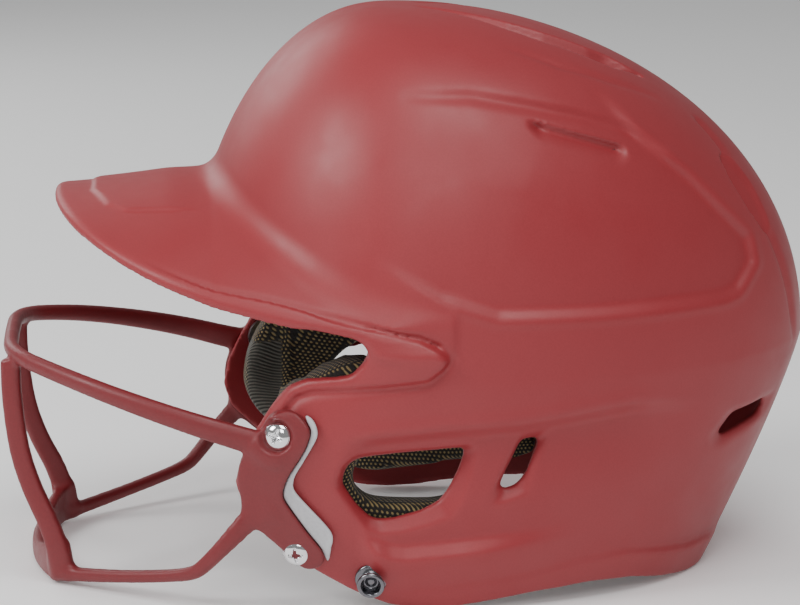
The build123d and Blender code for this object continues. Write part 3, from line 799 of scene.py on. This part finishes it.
def build_pad(name, node, outer_depth, seams):
    """Stuffed pad: the CAD solid made smaller, blown up as cloth, with a raised welt along each seam.
    A seam is (across, along, path, width, height), with the two axes that its path lies in."""
    piece = remeshed_copy(name, node, PAD_VOXEL)
    mesh = piece.data
    normals = np.empty(len(mesh.vertices) * 3)
    mesh.vertices.foreach_get("normal", normals)
    start = mesh_points(mesh) - normals.reshape(-1, 3) * PAD_SHRINK * MM
    put_points(mesh, start)
    cloth = piece.modifiers.new("stuffing", "CLOTH")
    cloth.settings.use_pressure = True
    cloth.settings.uniform_pressure_force = 4.0
    cloth.settings.effector_weights.gravity = 0.0
    cloth.settings.quality = 5
    cloth.point_cache.frame_start = 1
    cloth.point_cache.frame_end = CLOTH_STEPS
    for step in range(1, CLOTH_STEPS + 1):
        bpy.context.scene.frame_set(step)
    mesh = apply_modifiers(piece)
    bpy.context.scene.frame_set(1)
    points = mesh_points(mesh)
    move = points - start
    length = np.linalg.norm(move, axis=1)
    move *= np.minimum(1.0, PAD_SWELL * MM / np.maximum(length, 1e-9))[:, None]
    put_points(mesh, start + move)
    finer = piece.modifiers.new("finer", "SUBSURF")
    finer.levels = finer.render_levels = 1
    mesh = apply_modifiers(piece)
    points = mesh_points(mesh) / MM
    depth, out = head_depth(points)
    inner = ramp((depth - outer_depth - 2.0) / 3.0)
    for across, along, path, width, height in seams:
        reach = path_distance(points[:, across], points[:, along], path)[0]
        points -= out * (height * np.exp(-(reach / width) ** 2) * inner)[:, None]
    depth, out = head_depth(points)
    points -= out * np.maximum(outer_depth - depth, 0.0)[:, None]
    put_points(mesh, points * MM)
    mesh.shade_smooth()
    return piece


def build_foam(name, node):
    """Moulded foam block: the CAD solid with worn, rounded edges."""
    piece = remeshed_copy(name, node, FOAM_VOXEL)
    piece.data.shade_smooth()
    return piece


# ---- materials ----
class Look:
    """A procedural node material built a node at a time."""

    def __init__(self, name):
        self.material = bpy.data.materials.new(name)
        self.material.use_nodes = True
        self.tree = self.material.node_tree
        self.shader = self.tree.nodes["Principled BSDF"]
        self.place = self.node("ShaderNodeTexCoord").outputs["Object"]

    def node(self, kind, **settings):
        node = self.tree.nodes.new(kind)
        for key, value in settings.items():
            setattr(node, key, value)
        return node

    def put(self, socket, value):
        if isinstance(value, bpy.types.NodeSocket):
            self.tree.links.new(value, socket)
        else:
            socket.default_value = value

    def noise(self, scale, detail=2.0, rough=0.5):
        node = self.node("ShaderNodeTexNoise")
        self.put(node.inputs["Vector"], self.place)
        self.put(node.inputs["Scale"], scale)
        self.put(node.inputs["Detail"], detail)
        self.put(node.inputs["Roughness"], rough)
        return node.outputs["Fac"]

    def cells(self, scale, feature="F1"):
        node = self.node("ShaderNodeTexVoronoi", feature=feature)
        self.put(node.inputs["Vector"], self.place)
        self.put(node.inputs["Scale"], scale)
        return node.outputs["Distance"]

    def blend(self, amount, low, high):
        node = self.node("ShaderNodeMix", data_type="RGBA")
        self.put(node.inputs["Factor"], amount)
        self.put(node.inputs["A"], (*low, 1.0) if isinstance(low, tuple) else low)
        self.put(node.inputs["B"], (*high, 1.0) if isinstance(high, tuple) else high)
        return node.outputs["Result"]

    def span(self, value, low, high, to_low=0.0, to_high=1.0):
        node = self.node("ShaderNodeMapRange")
        for socket, number in zip(("Value", "From Min", "From Max", "To Min", "To Max"),
                                  (value, low, high, to_low, to_high)):
            self.put(node.inputs[socket], number)
        return node.outputs["Result"]

    def maths(self, kind, a, b=0.0):
        node = self.node("ShaderNodeMath", operation=kind)
        self.put(node.inputs[0], a)
        self.put(node.inputs[1], b)
        return node.outputs[0]

    def bump(self, height, strength, distance):
        node = self.node("ShaderNodeBump")
        self.put(node.inputs["Height"], height)
        self.put(node.inputs["Strength"], strength)
        self.put(node.inputs["Distance"], distance)
        return node.outputs["Normal"]

    def finish(self, color, rough, normal=None, metal=0.0, sheen=0.0):
        self.put(self.shader.inputs["Base Color"], (*color, 1.0) if isinstance(color, tuple) else color)
        self.put(self.shader.inputs["Roughness"], rough)
        self.put(self.shader.inputs["Metallic"], metal)
        self.put(self.shader.inputs["Sheen Weight"], sheen)
        if normal is not None:
            self.put(self.shader.inputs["Normal"], normal)
        return self.material


def shell_look():
    look = Look("matte_red_shell")
    cloud = look.noise(9.0, 3.0)
    grain = look.noise(1500.0, 2.0)
    color = look.blend(cloud, (0.285, 0.024, 0.030), (0.315, 0.031, 0.037))
    color = look.blend(look.span(grain, 0.4, 0.6, 0.0, 0.25), color, (0.22, 0.016, 0.020))
    rough = look.span(look.noise(60.0, 3.0), 0.3, 0.7, 0.42, 0.52)
    return look.finish(color, rough, look.bump(grain, 0.10, 0.0002))


def guard_look():
    look = Look("guard_powder_coat")
    cloud = look.noise(14.0, 3.0)
    grain = look.noise(1100.0, 3.0, 0.6)
    color = look.blend(cloud, (0.172, 0.014, 0.018), (0.196, 0.018, 0.022))
    color = look.blend(look.span(grain, 0.35, 0.65, 0.0, 0.3), color, (0.12, 0.011, 0.014))
    rough = look.span(look.noise(80.0, 3.0), 0.3, 0.7, 0.40, 0.52)
    return look.finish(color, rough, look.bump(grain, 0.18, 0.0004))


def rubber_look():
    look = Look("pale_rubber")
    grain = look.noise(900.0, 3.0)
    color = look.blend(look.noise(45.0, 4.0), (0.50, 0.50, 0.52), (0.60, 0.60, 0.62))
    color = look.blend(look.span(grain, 0.4, 0.7, 0.0, 0.3), color, (0.40, 0.40, 0.41))
    return look.finish(color, look.span(grain, 0.3, 0.7, 0.5, 0.65), look.bump(grain, 0.15, 0.0003))


def metal_look(name, low, high, rough_low, rough_high, wear):
    look = Look(name)
    fine = look.noise(420.0, 4.0, 0.6)
    stain = look.noise(130.0, 3.0)
    color = look.blend(stain, low, high)
    color = look.blend(look.span(fine, 0.55, 0.75, 0.0, wear), color, tuple(0.35 * c for c in low))
    rough = look.span(fine, 0.3, 0.7, rough_low, rough_high)
    return look.finish(color, rough, look.bump(fine, 0.04, 0.0001), metal=1.0)


def foam_look():
    look = Look("bead_foam")
    beads = look.cells(330.0)
    edge = look.cells(330.0, "DISTANCE_TO_EDGE")
    color = look.blend(look.noise(300.0, 2.0), (0.018, 0.018, 0.019), (0.035, 0.035, 0.037))
    color = look.blend(look.span(edge, 0.0, 0.12, 0.6, 0.0), color, (0.006, 0.006, 0.006))
    rough = look.span(beads, 0.0, 0.8, 0.55, 0.8)
    return look.finish(color, rough, look.bump(look.span(edge, 0.0, 0.25), 0.5, 0.0006))


DOT_PITCH = 0.0018          # metres, as in every material
DOT_SHIFT = 0.00012         # how far the weave wanders
RIB_PITCH = 0.0015
RIB_EDGE = 0.0012


def mesh_look(name, first, second, ribbed=None, thick=None):
    """Black knit mesh with a lattice of gold dots. first and second are the cloth's directions in the frame,
    thick the direction that it takes where it wraps over an edge, and ribbed the limits of a ribbed part."""
    look = Look(name)
    split = look.node("ShaderNodeSeparateXYZ")
    look.put(split.inputs[0], look.place)
    axes = dict(zip("xyz", split.outputs))
    wobble = look.noise(120.0, 2.0)
    if thick:
        wrap = look.maths("ABSOLUTE", axes[thick])
        axes["u"] = look.maths("SUBTRACT", axes[first], wrap)
        axes["v"] = look.maths("ADD", axes[second], wrap)
        first, second = "u", "v"
    u = look.maths("ADD", axes[first], look.span(wobble, 0.3, 0.7, -DOT_SHIFT, DOT_SHIFT))
    v = look.maths("ADD", axes[second], look.span(look.noise(90.0, 2.0), 0.3, 0.7, -DOT_SHIFT, DOT_SHIFT))
    tall = DOT_PITCH * 1.732

    def lattice(shift):
        a = look.maths("WRAP", look.maths("ADD", u, shift * DOT_PITCH), DOT_PITCH / 2)
        a.node.inputs[2].default_value = -DOT_PITCH / 2
        b = look.maths("WRAP", look.maths("ADD", v, shift * tall), tall / 2)
        b.node.inputs[2].default_value = -tall / 2
        square = look.maths("MULTIPLY", a, a)
        return look.maths("SQRT", look.maths("ADD", square, look.maths("MULTIPLY", b, b)))

    dots = look.maths("MINIMUM", lattice(0.0), lattice(0.5))
    dot = look.span(dots, 0.00034, 0.00054, 1.0, 0.0)
    knit = look.noise(2600.0, 2.0)
    black = look.blend(knit, (0.010, 0.009, 0.008), (0.022, 0.019, 0.016))
    gold = look.blend(look.noise(240.0, 2.0), (0.22, 0.16, 0.06), (0.38, 0.29, 0.13))
    color = look.blend(dot, black, gold)
    height = look.maths("ADD", look.span(dots, 0.0003, 0.0009), look.maths("MULTIPLY", knit, 0.3))
    if ribbed:
        inside = None
        for axis, low, high in ribbed:
            rise = look.span(axes[axis], low, low + RIB_EDGE)
            gate = look.maths("MULTIPLY", rise, look.span(axes[axis], high - RIB_EDGE, high, 1.0, 0.0))
            inside = gate if inside is None else look.maths("MULTIPLY", inside, gate)
        rib = look.maths("SINE", look.maths("MULTIPLY", v, 2 * math.pi / RIB_PITCH))
        cloth = look.blend(look.span(rib, -0.6, 0.6), (0.026, 0.025, 0.020), (0.125, 0.120, 0.100))
        color = look.blend(inside, color, cloth)
        height = look.maths("ADD", look.maths("MULTIPLY", height, look.maths("SUBTRACT", 1.0, inside)),
                            look.maths("MULTIPLY", look.span(rib, -1.0, 1.0), inside))
    normal = look.bump(height, 0.55, 0.0007)
    return look.finish(color, 0.85, normal, sheen=0.15)


# ---- studio ----
def sheet_light(name, place, aim, size, power):
    data = bpy.data.lights.new(name, "AREA")
    data.shape = "RECTANGLE"
    data.size, data.size_y = size
    data.energy = power
    lamp = add_object(name, data)
    lamp.location = place
    lamp.rotation_euler = (Vector(aim) - Vector(place)).to_track_quat("-Z", "Y").to_euler()


def build_studio():
    bm = bmesh.new()
    bmesh.ops.create_grid(bm, x_segments=24, y_segments=24, size=4.0)
    mesh = bpy.data.meshes.new("floor")
    bm.to_mesh(mesh)
    bm.free()
    floor = add_object("floor", mesh)
    look = Look("pale_floor")
    color = look.blend(look.noise(3.0, 4.0), (0.93, 0.93, 0.93), (0.96, 0.96, 0.96))
    look.put(look.shader.inputs["Emission Color"], (1.0, 1.0, 1.0, 1.0))
    look.put(look.shader.inputs["Emission Strength"], 0.10)
    floor.data.materials.append(look.finish(color, 0.65))

    world = bpy.data.worlds.new("studio")
    world.use_nodes = True
    world.node_tree.nodes["Background"].inputs["Color"].default_value = (1.0, 1.0, 1.0, 1.0)
    world.node_tree.nodes["Background"].inputs["Strength"].default_value = 0.28
    bpy.context.scene.world = world
    middle = (0.0, 0.0, 0.11)
    sheet_light("key", (0.45, -1.3, 1.05), middle, (0.6, 0.6), 16.0)
    sheet_light("top", (0.6, 0.15, 1.5), middle, (0.8, 0.8), 12.0)
    sheet_light("side", (1.5, -0.2, 1.0), middle, (0.6, 0.5), 6.0)
    sheet_light("far", (-1.3, -0.9, 0.9), middle, (1.0, 0.8), 8.5)


CAMERA_AIM = (0.0, -0.002, 0.1038)
CAMERA_DISTANCE = 1.3
CAMERA_AZIMUTH = 85.3       # degrees from straight ahead of the helmet towards its left side
CAMERA_ELEVATION = 11.7


def build_camera():
    azimuth, elevation = math.radians(CAMERA_AZIMUTH), math.radians(CAMERA_ELEVATION)
    back = Vector((math.sin(azimuth) * math.cos(elevation), -math.cos(azimuth) * math.cos(elevation),
                   math.sin(elevation)))
    data = bpy.data.cameras.new("camera")
    data.sensor_width = 36.0
    data.lens = 141.0
    camera = add_object("camera", data)
    camera.location = Vector(CAMERA_AIM) + back * CAMERA_DISTANCE
    camera.rotation_euler = back.to_track_quat("Z", "Y").to_euler()
    bpy.context.scene.camera = camera


# ---- the helmet ----
def place_piece(piece, material, slot, *nodes):
    """Gives a piece its look and its body, and hides the CAD nodes that it stands for."""
    piece.data.materials.clear()
    piece.data.materials.append(material)
    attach(piece, "root")
    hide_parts(*nodes)


place_piece(build_shell(), shell_look(), "shell_plastic", "outer_shell")

guard_nodes = ["guard_top_bar", "guard_chin_bar"]
for word in ("left", "right"):
    guard_nodes += [f"{word}_guard_{part}" for part in ("front_bar", "jaw_bar", "side_plate")]
place_piece(build_guard(), guard_look(), "guard_paint", *guard_nodes)

rubber = rubber_look()
nickel = metal_look("dark_nickel", (0.13, 0.13, 0.14), (0.22, 0.22, 0.24), 0.16, 0.30, 0.6)
for side, word in ((1, "left"), (-1, "right")):
    place_piece(build_strip(side), rubber, "bumper_rubber", f"{word}_bumper_strip")
    place_piece(build_stud(side), nickel, "stud_nickel", f"{word}_snap_stud")
chrome = metal_look("chrome", (0.78, 0.78, 0.79), (0.86, 0.86, 0.87), 0.05, 0.13, 0.25)
place_piece(build_screws(), chrome, "screw_chrome", "guard_screws")

steel = metal_look("zinc_steel", (0.42, 0.42, 0.43), (0.55, 0.55, 0.57), 0.25, 0.4, 0.5)
for node in ("guard_tee_nuts", "snap_stud_washers"):
    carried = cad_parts[node]
    carried.data.materials.clear()
    carried.data.materials.append(steel)

foam = foam_look()
for part in ("front", "crown", "rear", "left", "right"):
    block = build_foam(f"foam_{part}", f"impact_liner_{part}")
    place_piece(block, foam, "liner_foam", f"impact_liner_{part}")

side_mesh = mesh_look("gold_dot_mesh_side", "y", "z", thick="x")
brow_mesh = mesh_look("gold_dot_mesh_brow", "x", "z")
crown_mesh = mesh_look("gold_dot_mesh_crown", "x", "y")
ear_mesh = mesh_look("gold_dot_mesh_ear", "y", "z", thick="x",
                     ribbed=[("y", -0.064, -0.0475), ("z", 0.036, 0.0735)])
PADS = [
    ("brow_cushion", "brow_pad", brow_mesh, 14.6, [(0, 2, [(-20.0, 140.0), (-20.0, 190.0)], 2.0, 1.8),
                                                   (0, 2, [(20.0, 140.0), (20.0, 190.0)], 2.0, 1.8)]),
    ("crown_cushion", "crown_pad", crown_mesh, 14.6, [(0, 1, [(0.0, -60.0), (0.0, 80.0)], 2.2, 2.0),
                                                      (0, 1, [(-60.0, 8.0), (60.0, 8.0)], 2.2, 2.0)]),
    ("nape_cushion", "nape_pad", brow_mesh, 14.6, [(0, 2, [(-24.0, 70.0), (-24.0, 130.0)], 2.0, 1.8),
                                                   (0, 2, [(24.0, 70.0), (24.0, 130.0)], 2.0, 1.8)]),
]
for word in ("left", "right"):
    PADS.append((f"{word}_temple_cushion", f"{word}_temple_pad", side_mesh, 14.6,
                 [(1, 2, [(38.0, 100.0), (38.0, 150.0)], 2.0, 1.8)]))
    PADS.append((f"{word}_ear_cushion", f"{word}_ear_pad", ear_mesh, 5.6,
                 [(1, 2, [(-45.5, 20.0), (-45.5, 90.0)], 1.3, 1.6)]))
for name, node, material, depth, seams in PADS:
    cushion = build_pad(name, node, depth, seams)
    place_piece(cushion, material, "pad_mesh", node)

build_studio()
build_camera()
